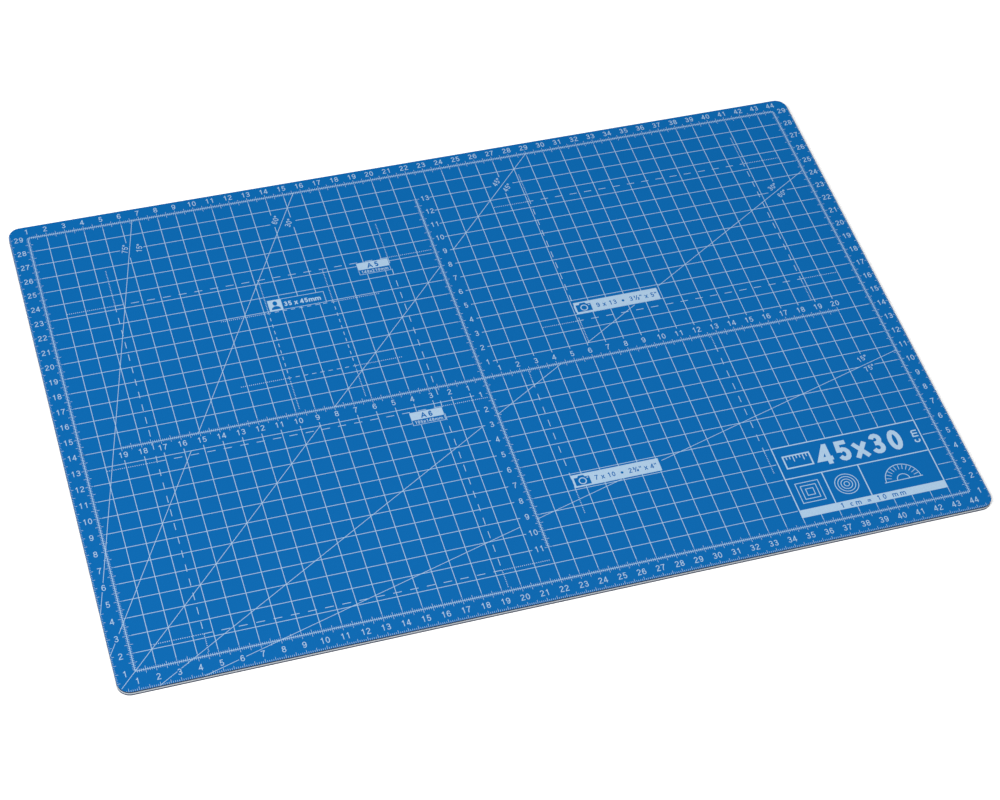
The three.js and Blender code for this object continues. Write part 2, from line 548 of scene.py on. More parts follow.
def bar_outlines(starts: np.ndarray, ends: np.ndarray, width: float) -> np.ndarray:
    """Outlines of straight bars between pairs of points.

    Half the width is laid off to both sides, at right angles to the line from start to end.

    Args:
        starts: An array of n by 2.
        ends: An array of n by 2.
        width: The width of every bar.

    Returns:
        An array of n by 4 by 2, counter-clockwise.
    """
    along = ends - starts
    along = along / np.linalg.norm(along, axis=1, keepdims=True)
    side = np.stack([-along[:, 1], along[:, 0]], 1) * width / 2
    return np.stack([starts - side, ends - side, ends + side, starts + side], 1)


def ribbon(path: np.ndarray, width: float, closed: bool,
           low: float, high: float) -> tuple[np.ndarray, list[np.ndarray]]:
    """A flat stroke: a rectangular profile carried along a path.

    At each point the profile stands along the mitre, the mean of the normals of the two legs
    that meet there, lengthened by 1 over the cosine of half their turn so that the stroke
    keeps its width, to 2 at most.

    Args:
        path: An array of n by 2.
        width: The stroke's width.
        closed: Whether the last point joins the first.
        low: Height of the bottom.
        high: Height of the top.

    Returns:
        The vertices, and the faces as arrays of vertex numbers.
    """
    legs = np.roll(path, -1, 0) - path
    legs = legs / np.maximum(np.linalg.norm(legs, axis=1, keepdims=True), 1e-9)
    before = np.roll(legs, 1, 0)
    if not closed:
        legs[-1], before[0] = legs[-2], legs[0]
    mean = legs + before
    mean = mean / np.maximum(np.linalg.norm(mean, axis=1, keepdims=True), 1e-9)
    stretch = 1.0 / np.maximum((mean * legs).sum(1, keepdims=True), 0.5)
    side = np.stack([-mean[:, 1], mean[:, 0]], 1) * stretch * width / 2
    edges = np.stack([path - side, path + side, path + side, path - side], 1)
    heights = np.broadcast_to(np.array([low, low, high, high])[None, :, None], (len(path), 4, 1))
    vertices = np.concatenate([edges, heights], 2).reshape(-1, 3)
    steps = np.arange(len(path) if closed else len(path) - 1)
    here, onward = steps * 4, (steps + 1) % len(path) * 4
    quads = [np.stack([here + a, onward + a, onward + b, here + b], 1)
             for a, b in ((1, 0), (2, 1), (3, 2), (0, 3))]
    if not closed:
        last = (len(path) - 1) * 4
        quads.append(np.array([[0, 1, 2, 3], [last + 3, last + 2, last + 1, last]]))
    return vertices, quads


def net(bars: np.ndarray, low: float, high: float) -> tuple[np.ndarray, list[np.ndarray]]:
    """Upright bars that cross or meet, as one closed slab.

    The edges of all bars cut the plane into cells. A cell holds ink if any bar covers its
    middle. Each inked cell has a top and a bottom, and a wall towards every empty neighbour.

    Args:
        bars: Rows of x0, y0, x1, y1.
        low: Height of the bottom.
        high: Height of the top.

    Returns:
        The vertices, and the faces as arrays of vertex numbers.
    """
    bars = np.round(bars, 4)
    xs, ys = np.unique(bars[:, [0, 2]]), np.unique(bars[:, [1, 3]])
    first, last = np.searchsorted(xs, bars[:, 0]), np.searchsorted(xs, bars[:, 2])
    front, back = np.searchsorted(ys, bars[:, 1]), np.searchsorted(ys, bars[:, 3])
    inked = np.zeros((len(xs) + 1, len(ys) + 1), bool)  # one empty cell all round
    for i0, i1, j0, j1 in zip(first, last, front, back):
        inked[i0 + 1:i1 + 1, j0 + 1:j1 + 1] = True
    i, j = np.nonzero(inked)
    corner = (i - 1) * len(ys) + (j - 1)
    top = len(xs) * len(ys)
    a, b, c, d = corner, corner + len(ys), corner + len(ys) + 1, corner + 1
    faces = [np.stack([a, b, c, d], 1) + top, np.stack([d, c, b, a], 1)]
    for start, end, step in ((a, b, (0, -1)), (b, c, (1, 0)), (c, d, (0, 1)), (d, a, (-1, 0))):
        bare = ~inked[i + step[0], j + step[1]]
        s, e = start[bare], end[bare]
        faces.append(np.stack([s, e, e + top, s + top], 1))
    grid = np.stack(np.meshgrid(xs, ys, indexing="ij"), 2).reshape(-1, 2)
    vertices = np.concatenate([np.column_stack([grid, np.full(len(grid), z)])
                               for z in (low, high)])
    used, compact = np.unique(np.concatenate(faces), return_inverse=True)
    compact = compact.reshape(-1, 4)
    return vertices[used], [compact]


def arc(centre: Point, radii: Point, start: float, stop: float, steps: int = 8) -> np.ndarray:
    """Points on an ellipse: the centre plus the radii times the cosine and sine.

    Args:
        centre: The middle.
        radii: Half the width and half the height.
        start: First angle in degrees, counter-clockwise from +X.
        stop: Last angle.
        steps: Legs between the points.

    Returns:
        An array of steps + 1 by 2.
    """
    turn = np.radians(np.linspace(start, stop, steps + 1))
    return np.stack([centre[0] + radii[0] * np.cos(turn), centre[1] + radii[1] * np.sin(turn)], 1)


def ring(centre: Point, radii: Point, steps: int = 14) -> np.ndarray:
    """Points all round an ellipse, without the first one again."""
    return arc(centre, radii, 0.0, 360.0, steps)[:-1]


# ---------------------------------------------------------------- the plies


@dataclass
class Ply:
    """One ply: a sheet with its own edge profile, swept round the mat's outline.

    The profile is a list of points: how far in from the outline, and at which share of the
    ply's thickness. It runs from the underside's flat to the top's flat.
    """

    node: str
    finish: Plastic
    profile: tuple[Point, ...]
    corner_radius: float = CORNER_RADIUS
    corner_steps: int = 18
    straight_steps: int = 24
    edge_depth: float = 0.1

    def outline(self) -> tuple[np.ndarray, np.ndarray]:
        """The round-cornered outline.

        The normal's angle turns a quarter over each corner and rests along each side. A corner
        point is the corner's centre plus the radius times the normal, and a side's points lie
        evenly between the corners.

        Returns:
            Points in millimetres and outward normals, both arrays of n by 2.
        """
        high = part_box(self.node)[1]
        reach = np.array([high.x, high.y]) / MM - self.corner_radius
        signs = np.array([[1, 1], [-1, 1], [-1, -1], [1, -1]])
        turns = np.linspace(0.0, math.pi / 2, self.corner_steps + 1)
        angles = turns[None, :] + np.arange(4)[:, None] * math.pi / 2
        normals = np.stack([np.cos(angles), np.sin(angles)], 2)
        corners = (signs * reach)[:, None, :] + self.corner_radius * normals
        share = (np.arange(1, self.straight_steps) / self.straight_steps)[None, :, None]
        starts, ends = corners[:, -1][:, None], np.roll(corners[:, 0], -1, 0)[:, None]
        sides = starts + (ends - starts) * share
        side_normals = np.repeat(normals[:, -1][:, None], self.straight_steps - 1, 1)
        points = np.concatenate([corners, sides], 1).reshape(-1, 2)
        return points, np.concatenate([normals, side_normals], 1).reshape(-1, 2)

    def build(self, effects: dict[str, bpy.types.NodeTree]) -> bpy.types.Object:
        """Sweep the profile round the outline and close it with two flats.

        A vertex is its outline point less the profile's inset times the normal, at the ply's
        low height plus the profile's share of its thickness.

        Args:
            effects: The shared node groups, by name.

        Returns:
            The ply.
        """
        points, normals = self.outline()
        low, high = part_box(self.node)
        inset, share = np.array(self.profile).T
        rings = points[None] - inset[:, None, None] * normals[None]
        heights = low.z / MM + share * (high.z - low.z) / MM
        levels = np.broadcast_to(heights[:, None, None], (*rings.shape[:2], 1))
        vertices = np.concatenate([rings, levels], 2).reshape(-1, 3)
        count = len(points)
        here = np.arange(count)[None] + (np.arange(len(inset) - 1) * count)[:, None]
        onward = (np.arange(count)[None] + 1) % count + (here - np.arange(count))
        walls = np.stack([here, onward, onward + count, here + count], 2).reshape(-1, 4)
        flats = [np.arange(count)[None, ::-1], np.arange(count)[None] + (len(inset) - 1) * count]
        on_edge = np.repeat((inset < self.edge_depth).astype(float), count)
        piece = new_piece(f"{self.node}_ply", vertices * MM, [walls, *flats],
                          self.finish.made(effects), True, on_edge)
        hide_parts(self.node)
        return piece


@dataclass
class PlyStack:
    """The five bonded plies, from the underside up."""

    # The underside and the lower soft ply are dark navy, partly their own guessed colour and partly
    # painted contact shade.
    underside: SheetPlastic = SheetPlastic(
        Slot.UNDERSIDE, (0.010, 0.026, 0.062), 0.62, edge_colour=(0.016, 0.024, 0.048),
        lumps=1500.0, grain=0.22)
    lower_soft: SoftPlastic = SoftPlastic(Slot.LOWER_SOFT, (0.020, 0.030, 0.060), 0.6)
    core: CorePlastic = CorePlastic(Slot.CORE, (0.40, 0.44, 0.48), 0.42, 0.3)
    # The upper soft ply is blue PVC. Its dark navy is painted shade of its band between the sheets.
    upper_soft: SoftPlastic = SoftPlastic(Slot.UPPER_SOFT, (0.004, 0.015, 0.036), 0.55)
    # The work side's cut edge is a dark copy of its blue: painted shade of the sheet's side.
    work_side: SheetPlastic = SheetPlastic(
        Slot.WORK_SIDE, (0.0004, 0.095, 0.300), 0.52, 0.07, edge_colour=(0.003, 0.020, 0.052))
    soft_edge: tuple[Point, ...] = ((1.2, 0.0), (0.06, 0.0), (0.03, 0.2), (0.02, 0.5),
                                    (0.03, 0.8), (0.06, 1.0), (1.2, 1.0))

    def plies(self) -> list[Ply]:
        """The plies with their profiles.

        Returns:
            The plies in the order they lie.
        """
        return [
            Ply("bottom_wear_sheet", self.underside,
                ((1.2, 0.0), (0.30, 0.0), (0.09, 0.06), (0.02, 0.18), (0.0, 0.34), (0.0, 0.96),
                 (0.05, 1.0), (1.2, 1.0))),
            Ply("lower_soft_layer", self.lower_soft, self.soft_edge),
            Ply("rigid_core", self.core,
                ((1.2, 0.0), (0.06, 0.0), (0.015, 0.06), (0.01, 0.5), (0.015, 0.94), (0.06, 1.0),
                 (1.2, 1.0))),
            Ply("upper_soft_layer", self.upper_soft, self.soft_edge),
            Ply("top_wear_sheet", self.work_side,
                ((1.2, 0.0), (0.05, 0.0), (0.0, 0.05), (0.0, 0.62), (0.015, 0.80), (0.06, 0.93),
                 (0.16, 1.0), (1.2, 1.0))),
        ]

    def build(self, effects: dict[str, bpy.types.NodeTree]) -> bpy.types.Material:
        """Build every ply.

        Args:
            effects: The shared node groups, by name.

        Returns:
            The work side's finish, which lettering left clear of ink shows.
        """
        built = [ply.build(effects) for ply in self.plies()]
        return built[-1].data.materials[0]


# ---------------------------------------------------------------- drawing in ink


@dataclass(frozen=True)
class PrintRegister:
    """Where the print lies on the mat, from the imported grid."""

    mark_reach: float = 2.0
    inset: float = 10.0

    def zero(self) -> np.ndarray:
        """The print's zero in millimetres on the mat, with the height of the sheet's face."""
        lengthwise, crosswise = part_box("grid_lines_lengthwise"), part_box("grid_lines_crosswise")
        reach = self.inset - self.mark_reach
        return np.array([lengthwise[0].x / MM - reach, crosswise[0].y / MM - reach,
                         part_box("top_wear_sheet")[1].z / MM])


@dataclass
class InkDrawing:
    """Closed films of ink gathered into one piece. Heights start at the sheet's face."""

    film: Film
    vertices: list[np.ndarray] = field(default_factory=list)
    faces: list[np.ndarray] = field(default_factory=list)
    count: int = 0

    def add(self, shape: tuple[np.ndarray, list[np.ndarray]]) -> None:
        """Take in a shape's vertices and faces.

        Args:
            shape: Vertices in the print's millimetres, and arrays of vertex numbers.
        """
        vertices, faces = shape
        self.vertices.append(vertices)
        self.faces.extend(block + self.count for block in faces)
        self.count += len(vertices)

    def rects(self, rects: Iterable[Sequence[float]]) -> None:
        """Draw separate upright rectangles, each a row of x0, y0, x1, y1."""
        rows = np.array(list(rects), float).reshape(-1, 4)
        self.add(prisms(rect_outlines(rows), 0.0, self.film.value))

    def bars(self, starts: Sequence[Point], ends: Sequence[Point], width: float) -> None:
        """Draw straight bars between pairs of points."""
        outlines = bar_outlines(np.array(starts, float), np.array(ends, float), width)
        self.add(prisms(outlines, 0.0, self.film.value))

    def net(self, bars: Iterable[Sequence[float]]) -> None:
        """Draw upright bars that cross, as one slab."""
        self.add(net(np.array(list(bars), float), 0.0, self.film.value))

    def shape(self, outline: np.ndarray) -> None:
        """Draw one filled outline, counter-clockwise from above."""
        self.add(prisms(outline[None], 0.0, self.film.value))

    def stroke(self, path: Sequence[Point] | np.ndarray, width: float, closed: bool = False,
               order: int = 0) -> None:
        """Draw a stroke.

        Args:
            path: The points it follows.
            width: Its width.
            closed: Whether it joins up.
            order: How many strokes of the same sign lie on it, each a hair higher.
        """
        top = self.film.value - 0.0004 * order
        self.add(ribbon(np.array(path, float), width, closed, 0.0, top))

    def piece(self, name: str, material: bpy.types.Material, slot: Slot,
              stands_for: Sequence[str] = ()) -> bpy.types.Object:
        """Make the piece, with its place on the mat in its mesh.

        Args:
            name: The piece's name.
            material: The finish.
            slot: The record's slot; not used.
            stands_for: CAD nodes that it replaces.

        Returns:
            The piece.
        """
        vertices = (np.concatenate(self.vertices) + PrintRegister().zero()) * MM
        made = new_piece(name, vertices, self.faces, material)
        if stands_for:
            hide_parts(*stands_for)
        return made


@dataclass(frozen=True)
class Stroke:
    """One stroke of a sign, in shares of the sign's height from its baseline."""

    path: np.ndarray
    closed: bool = False

    def moved(self, scale: float, shift: Point, turned: bool = False) -> "Stroke":
        """The stroke scaled and shifted, or first turned upside down.

        Args:
            scale: How many times as large.
            shift: What is then added.
            turned: Whether it is turned by half a turn about the sign's middle.

        Returns:
            The new stroke.
        """
        path = np.array([0.0, 1.0]) - self.path if turned else self.path
        return Stroke(path * scale + np.array(shift), self.closed)


@dataclass(frozen=True)
class Signs:
    """A plain grotesque alphabet of strokes, with the numerals and the few signs of the mat.

    A sign stands about X = 0 on the baseline and is 1 high. Its strokes are drawn down their
    middles, so they keep half a stroke away from the edges of the sign.
    """

    half: float
    advance: float = 0.775

    def ellipse_numerals(self) -> dict[str, list[Stroke]]:
        """The numerals that are made of bowls.

        The waist stands at 0.52, and each bowl is an ellipse between the waist and the top or
        the foot of the numeral, less half a stroke.

        Returns:
            The strokes of each numeral.
        """
        h, waist = self.half, 0.52
        top, foot = 1.0 - h, h
        upper, upper_r = (0.0, (top + waist) / 2), (0.265 - h, (top - waist) / 2)
        lower, lower_r = (0.0, (waist + foot) / 2), (0.295 - h, (waist - foot) / 2)
        bowl, bowl_r = (0.0, 0.32), (0.29 - h, 0.32 - h)
        arm = arc((0.01, 0.5), (0.30 - h, 0.5 - h), 200.0, 35.0, 9)
        six = [Stroke(ring(bowl, bowl_r), True), Stroke(arm)]
        return {
            "0": [Stroke(ring((0.0, 0.5), (0.29 - h, 0.5 - h), 16), True)],
            "3": [Stroke(np.vstack([arc(upper, upper_r, 165.0, -90.0, 9), (-0.09, waist)])),
                  Stroke(np.vstack([(-0.09, waist), arc(lower, lower_r, 90.0, -165.0, 10)]))],
            "6": six,
            "8": [Stroke(ring(upper, upper_r), True), Stroke(ring(lower, lower_r), True)],
            "9": [stroke.moved(1.0, (0.0, 0.0), True) for stroke in six],
        }

    def straight_numerals(self) -> dict[str, list[Stroke]]:
        """The numerals with straight stems and bars.

        Returns:
            The strokes of each numeral.
        """
        h = self.half
        top, foot = 1.0 - h, h
        two = arc((0.0, 0.71), (0.285 - h, 0.29 - h), 168.0, -28.0, 9)
        five = arc((0.0, 0.335), (0.29 - h, 0.335 - h), 146.0, -158.0, 10)
        return {
            "1": [Stroke(np.array([(0.07, 0.0), (0.07, 1.0)])),
                  Stroke(np.array([(-0.17, 0.755), (-0.03, 0.79), (0.07, 0.95)]))],
            "2": [Stroke(np.vstack([two, (-0.1, 0.30), (-0.285 + h, foot), (0.29, foot)]))],
            "4": [Stroke(np.array([(0.12, 0.0), (0.12, 1.0)])),
                  Stroke(np.array([(0.10, top), (-0.26, 0.275), (0.30, 0.275)]))],
            "5": [Stroke(np.array([(0.24, top), (-0.14, top), (-0.18, 0.44)])), Stroke(five)],
            "7": [Stroke(np.array([(-0.28, top), (0.25, top), (0.09, 0.70), (-0.02, 0.42),
                                   (-0.07, 0.20), (-0.09, 0.0)]))],
        }

    def small_signs(self) -> dict[str, list[Stroke]]:
        """The letters and marks.

        Returns:
            The strokes of each sign.
        """
        h, x_high = self.half, 0.72
        arch = arc((-0.20, x_high - 0.22), (0.20, 0.22 - h), 180.0, 0.0)
        hook = np.vstack([arch, (0.0, 0.0)])
        quote = np.array([(0.0, 0.66), (0.0, 1.0)])
        return {
            "x": [Stroke(np.array([(-0.25, 0.0), (0.25, x_high)])),
                  Stroke(np.array([(0.25, 0.0), (-0.25, x_high)]))],
            "m": [Stroke(np.array([(-0.40, 0.0), (-0.40, x_high)])), Stroke(hook),
                  Stroke(hook + np.array([0.40, 0.0]))],
            "c": [Stroke(arc((0.0, x_high / 2), (0.28 - h, x_high / 2 - h), 42.0, 318.0, 10))],
            "A": [Stroke(np.array([(-0.36, 0.0), (0.0, top_of(h)), (0.36, 0.0)])),
                  Stroke(np.array([(-0.24, 0.30), (0.24, 0.30)]))],
            "°": [Stroke(ring((0.0, 0.81), (0.19 - h, 0.19 - h), 10), True)],
            "•": [Stroke(ring((0.0, 0.44), (share * h, share * h), 12), True)
                  for share in (1.05, 2.2)],
            '"': [Stroke(quote - np.array([0.12, 0.0])), Stroke(quote + np.array([0.12, 0.0]))],
            "=": [Stroke(np.array([(-0.30, y), (0.30, y)])) for y in (0.24, 0.50)],
        }

    def strokes(self) -> dict[str, tuple[list[Stroke], float]]:
        """Every sign's strokes and advance.

        A fraction is two small numerals, one high and one low, with a slanting line between.

        Returns:
            Strokes and advance by sign.
        """
        shapes = {**self.ellipse_numerals(), **self.straight_numerals(), **self.small_signs()}
        slash = Stroke(np.array([(-0.22, 0.0), (0.22, 1.0)]))
        for sign, (over, under) in {"½": "12", "¾": "34"}.items():
            high = [stroke.moved(0.5, (-0.32, 0.5)) for stroke in shapes[over]]
            below = [stroke.moved(0.5, (0.32, 0.0)) for stroke in shapes[under]]
            shapes[sign] = [*high, slash, *below]
        widths = {"x": 0.68, "m": 1.12, "c": 0.68, "A": 0.86, "°": 0.44, "•": 0.66,
                  '"': 0.46, "=": 0.82, "½": 1.16, "¾": 1.16}
        signs = {sign: (shape, widths.get(sign, self.advance)) for sign, shape in shapes.items()}
        signs[" "] = ([], 0.36)
        return signs


def top_of(half: float) -> float:
    """Where a pointed sign's middle line ends, so that its tip is 1 high."""
    return 1.0 - 1.6 * half


@dataclass
class Lettering:
    """Lines of signs set on the print at one height and weight."""

    cap: float
    weight: Weight
    spacing: float = 0.0

    def __post_init__(self) -> None:
        """Draw the alphabet once for this weight."""
        self.signs = Signs(self.weight.value).strokes()

    def width(self, text: str) -> float:
        """How long a line is in millimetres."""
        advances = [self.signs[sign][1] + self.spacing for sign in text]
        return (sum(advances) - self.spacing) * self.cap

    def write(self, drawing: InkDrawing, text: str, at: Point, degrees: float = 0.0,
              align: Align = Align.CENTRE) -> None:
        """Set a line of signs.

        Each sign's strokes are scaled to the cap height, shifted along the line and turned
        about its start.

        Args:
            drawing: What they are drawn on.
            text: The signs.
            at: The left end of the baseline, or its middle.
            degrees: How far the line is turned, counter-clockwise.
            align: What the line is set from.
        """
        turn = math.radians(degrees)
        rotation = np.array([[math.cos(turn), math.sin(turn)], [-math.sin(turn), math.cos(turn)]])
        along = -align.value * self.width(text)
        for sign in text:
            strokes, advance = self.signs[sign]
            middle = along + advance * self.cap / 2
            for order, stroke in enumerate(strokes):
                flat = stroke.path * self.cap + np.array([middle, 0.0])
                drawing.stroke(flat @ rotation + np.array(at), 2 * self.weight.value * self.cap,
                               stroke.closed, order)
            along += (advance + self.spacing) * self.cap


# ---------------------------------------------------------------- the print's parts


def runs_between_gaps(start: float, stop: float, gaps: Iterable[Span]) -> list[Span]:
    """What is left of a line when gaps are taken out of it.

    Args:
        start: Where the line starts.
        stop: Where it stops.
        gaps: The gaps, in any order.

    Returns:
        The runs that are left, from start to stop.
    """
    runs, here = [], start
    for gap_start, gap_stop in sorted(gaps):
        if gap_start > here:
            runs.append((here, min(gap_start, stop)))
        here = max(here, gap_stop)
    if here < stop:
        runs.append((here, stop))
    return runs


def centimetres(first: float, last: float) -> np.ndarray:
    """Whole centimetres from first to last, both included."""
    return np.arange(first, last + CENTIMETRE / 2, CENTIMETRE)


@dataclass(frozen=True)
class Layout:
    """The measures that several parts of the print share."""

    length: float = 450.0
    width: float = 300.0
    inset: float = 10.0
    centre: Point = (220.0, 140.0)
    line: float = 0.32
    frame_line: float = 0.32
    mark: float = 0.20
    short_mark: float = 0.9
    long_mark: float = 2.0
    clearance: float = 2.2
    ruler_x: Span = (30.0, 420.0)
    ruler_y: Span = (30.0, 270.0)

    @property
    def far_x(self) -> float:
        """The frame's right line."""
        return self.length - self.inset

    @property
    def far_y(self) -> float:
        """The frame's back line."""
        return self.width - self.inset


@dataclass
class CentimetreGrid:
    """The grid of thin lines, broken at the centre scales, the plates and the panel.

    A centre scale has its numerals on one side before the centre and on the other past it, so
    the gap round it is given for each half.
    """

    layout: Layout
    clear_areas: tuple[Rect, ...]
    lengthwise_gaps: tuple[Span, Span] = ((132.2, 142.2), (137.8, 148.3))
    crosswise_gaps: tuple[Span, Span] = ((211.6, 222.2), (217.8, 228.0))

    def gaps(self, at: float, across: bool) -> list[Span]:
        """The gaps in one line.

        Args:
            at: Where the line stands.
            across: True for a line along Y that stands at an X.

        Returns:
            The gaps, including the rows of numerals beside the centre scales.
        """
        axis = 0 if across else 1
        found = [(area[1 - axis], area[3 - axis]) for area in self.clear_areas
                 if area[axis] <= at <= area[axis + 2]]
        ruler = self.layout.ruler_x if across else self.layout.ruler_y
        if ruler[0] <= at <= ruler[1]:
            halves = self.lengthwise_gaps if across else self.crosswise_gaps
            found.append(halves[0 if at < self.layout.centre[axis] else 1])
        return found

    def build(self, material: bpy.types.Material) -> None:
        """Draw the grid.

        Args:
            material: The ink.
        """
        lay, half = self.layout, self.layout.line / 2
        bars = []
        for x in centimetres(20.0, 430.0):
            if x != lay.centre[0]:
                span = (lay.inset + lay.clearance, lay.far_y - lay.clearance)
                bars += [(x - half, y0, x + half, y1)
                         for y0, y1 in runs_between_gaps(*span, self.gaps(x, True))]
        for y in centimetres(20.0, 280.0):
            if y != lay.centre[1]:
                span = (lay.inset + lay.clearance, lay.far_x - lay.clearance)
                bars += [(x0, y - half, x1, y + half)
                         for x0, x1 in runs_between_gaps(*span, self.gaps(y, False))]
        drawing = InkDrawing(Film.GRID)
        drawing.net(bars)
        drawing.piece("centimetre_grid_print", material, Slot.INK,
                      ("grid_lines_lengthwise", "grid_lines_crosswise"))


@dataclass
class RulerLine:
    """A line with marks every millimetre on both sides, longer every five."""

    layout: Layout
    start: Point
    along_x: bool
    length: float
    marks: Span

    def draw(self, drawing: InkDrawing) -> None:
        """Draw the line's marks, which stop against the line's two sides.

        Args:
            drawing: What they are drawn on.
        """
        lay, half = self.layout, self.layout.frame_line / 2
        places = np.arange(self.marks[0], self.marks[1] + 0.5)
        reach = np.where(places % 5 == 0, lay.long_mark, lay.short_mark)
        across = self.start[1] if self.along_x else self.start[0]
        for near, far in ((half, reach), (-reach, -half)):
            low = np.broadcast_to(across + near, places.shape)
            high = np.broadcast_to(across + far, places.shape)
            sides = (places - lay.mark / 2, low, places + lay.mark / 2, high)
            rects = np.stack(sides if self.along_x else (sides[1], sides[0], sides[3], sides[2]), 1)
            drawing.rects(rects)

    def bar(self) -> Rect:
        """The line itself, as x0, y0, x1, y1."""
        half = self.layout.frame_line / 2
        x, y = self.start
        if self.along_x:
            return (x, y - half, x + self.length, y + half)
        return (x - half, y, x + half, y + self.length)


@dataclass
class Scales:
    """The frame round the grid and the two scales that cross in the middle."""

    layout: Layout

    def frame_scale(self, material: bpy.types.Material) -> None:
        """The four ruled lines of the frame.

        Args:
            material: The ink.
        """
        lay, half = self.layout, self.layout.frame_line / 2
        drawing = InkDrawing(Film.SCALES)
        lines = [RulerLine(lay, (lay.inset - half, y), True, lay.far_x - lay.inset + 2 * half,
                           (lay.inset + 1, lay.far_x - 1)) for y in (lay.inset, lay.far_y)]
        lines += [RulerLine(lay, (x, lay.inset - half), False, lay.far_y - lay.inset + 2 * half,
                            (lay.inset + 1, lay.far_y - 1)) for x in (lay.inset, lay.far_x)]
        drawing.net(line.bar() for line in lines)
        for line in lines:
            line.draw(drawing)
        drawing.piece("frame_scale_print", material, Slot.INK)

    def centre_scales(self, material: bpy.types.Material) -> None:
        """The two scales in the middle, the crosswise one broken round the other's line.

        Args:
            material: The ink.
        """
        lay, half = self.layout, self.layout.frame_line / 2
        x, y = lay.centre
        lengthwise = RulerLine(lay, (lay.inset + half, y), True, lay.far_x - lay.inset - 2 * half,
                               lay.ruler_x)
        crosswise = RulerLine(lay, (x, lay.inset + half), False, lay.far_y - lay.inset - 2 * half,
                              lay.ruler_y)
        for line, name in ((lengthwise, "lengthwise"), (crosswise, "crosswise")):
            film = Film.SCALES if line.along_x else Film.DASHES
            drawing = InkDrawing(film)
            drawing.rects([line.bar()])
            line.draw(drawing)
            drawing.piece(f"centre_scale_{name}_print", material, Slot.INK,
                          (f"centre_scale_{name}",))


@dataclass
class EdgeMarks:
    """The scales along the mat's four edges, trimmed by the die at the round corners."""

    layout: Layout
    corner_radius: float = CORNER_RADIUS
    bare_rim: float = 0.18
    short_mark: float = 1.0
    long_mark: float = 2.0
    mark: float = 0.20
    least: float = 0.15
    front_drop: float = 0.55

    def rim(self, places: np.ndarray, extent: float) -> np.ndarray:
        """How far the outline stands in from the straight edge at each place along it.

        Within a corner it is the radius less the square root of the radius squared minus
        the square of what is left to the end of the corner.

        Args:
            places: Distances along the edge from its start.
            extent: The edge's whole length.

        Returns:
            The distances, with the bare rim added.
        """
        radius = self.corner_radius
        left = np.clip(radius - np.minimum(places, extent - places), 0.0, radius)
        return radius - np.sqrt(radius ** 2 - left ** 2) + self.bare_rim

    def marks_on(self, extent: float, shift: float, zero_to_edge: float) -> np.ndarray:
        """The marks of one edge, as if it lay along X with the mat above it.

        Args:
            extent: The edge's length.
            shift: From the start of the edge to the scale's zero.
            zero_to_edge: How far the marks' own start lies inside the edge.

        Returns:
            Rows of place, start and stop, measured along and in from the edge.
        """
        places = np.arange(0.0, extent)
        reach = np.where(places % 5 == 0, self.long_mark, self.short_mark)
        start = np.maximum(zero_to_edge, self.rim(np.clip(places + shift, 0.0, extent), extent))
        stop = zero_to_edge + reach
        rows = np.stack([places + shift, start, stop], 1)
        return rows[stop - start > self.least]

    def build(self, material: bpy.types.Material) -> None:
        """Draw the marks of all four edges.

        Args:
            material: The ink.
        """
        low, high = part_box("top_wear_sheet")
        zero = PrintRegister().zero()
        x0, y0 = low.x / MM - zero[0], low.y / MM - zero[1]
        x1, y1 = high.x / MM - zero[0], high.y / MM - zero[1]
        half, lay = self.mark / 2, self.layout
        front = self.marks_on(x1 - x0, -x0, -y0 - self.front_drop)
        back = self.marks_on(x1 - x0, -x0, y1 - lay.width)
        left = self.marks_on(y1 - y0, -y0, -x0)
        right = self.marks_on(y1 - y0, -y0, x1 - lay.length)
        drawing = InkDrawing(Film.SCALES)
        for at, near, far in ((front, y0, 1), (back, y1, -1)):
            ends = np.sort(near + far * at[:, 1:], 1)
            drawing.rects(np.stack([x0 + at[:, 0] - half, ends[:, 0],
                                    x0 + at[:, 0] + half, ends[:, 1]], 1))
        for at, near, far in ((left, x0, 1), (right, x1, -1)):
            ends = np.sort(near + far * at[:, 1:], 1)
            drawing.rects(np.stack([ends[:, 0], y0 + at[:, 0] - half,
                                    ends[:, 1], y0 + at[:, 0] + half], 1))
        drawing.piece("edge_scale_print", material, Slot.INK)


@dataclass
class Numerals:
    """The rows of numerals beside the scales, each given by the height of its middles."""

    layout: Layout
    cap: float = 3.4
    weight: Weight = Weight.REGULAR
    edge_rows: Span = (4.6, 294.7)
    edge_columns: Span = (5.0, 445.2)
    column_drop: float = 0.4
    centre_rows: Span = (135.6, 144.9)
    centre_columns: Span = (215.2, 225.2)

    def row(self, drawing: InkDrawing, values: range, place: Callable[[int], Point]) -> None:
        """Write a row of whole numbers.

        Args:
            drawing: What they are drawn on.
            values: The numbers.
            place: Gives the middle of a number from its value.
        """
        lettering = Lettering(self.cap, self.weight)
        for value in values:
            x, y = place(value)
            lettering.write(drawing, str(value), (x, y - self.cap / 2))

    def build(self, material: bpy.types.Material) -> None:
        """Write the numerals along the edges and beside the centre scales.

        Args:
            material: The ink.
        """
        edge = InkDrawing(Film.NUMERALS)
        for y in self.edge_rows:
            self.row(edge, range(1, 45), lambda n, y=y: (CENTIMETRE * n, y))
        for x in self.edge_columns:
            self.row(edge, range(1, 30), lambda n, x=x: (x, CENTIMETRE * n - self.column_drop))
        edge.piece("edge_numerals_print", material, Slot.INK)
        middle = InkDrawing(Film.NUMERALS)
        (x, y), (front, back), (left, right) = (self.layout.centre, self.centre_rows,
                                                self.centre_columns)
        self.row(middle, range(1, 20), lambda n: (x - CENTIMETRE * n, front))
        self.row(middle, range(1, 21), lambda n: (x + CENTIMETRE * n, back))
        self.row(middle, range(1, 14), lambda n: (right, y + CENTIMETRE * n))
        self.row(middle, range(1, 12), lambda n: (left, y - CENTIMETRE * n))
        middle.piece("centre_numerals_print", material, Slot.INK)


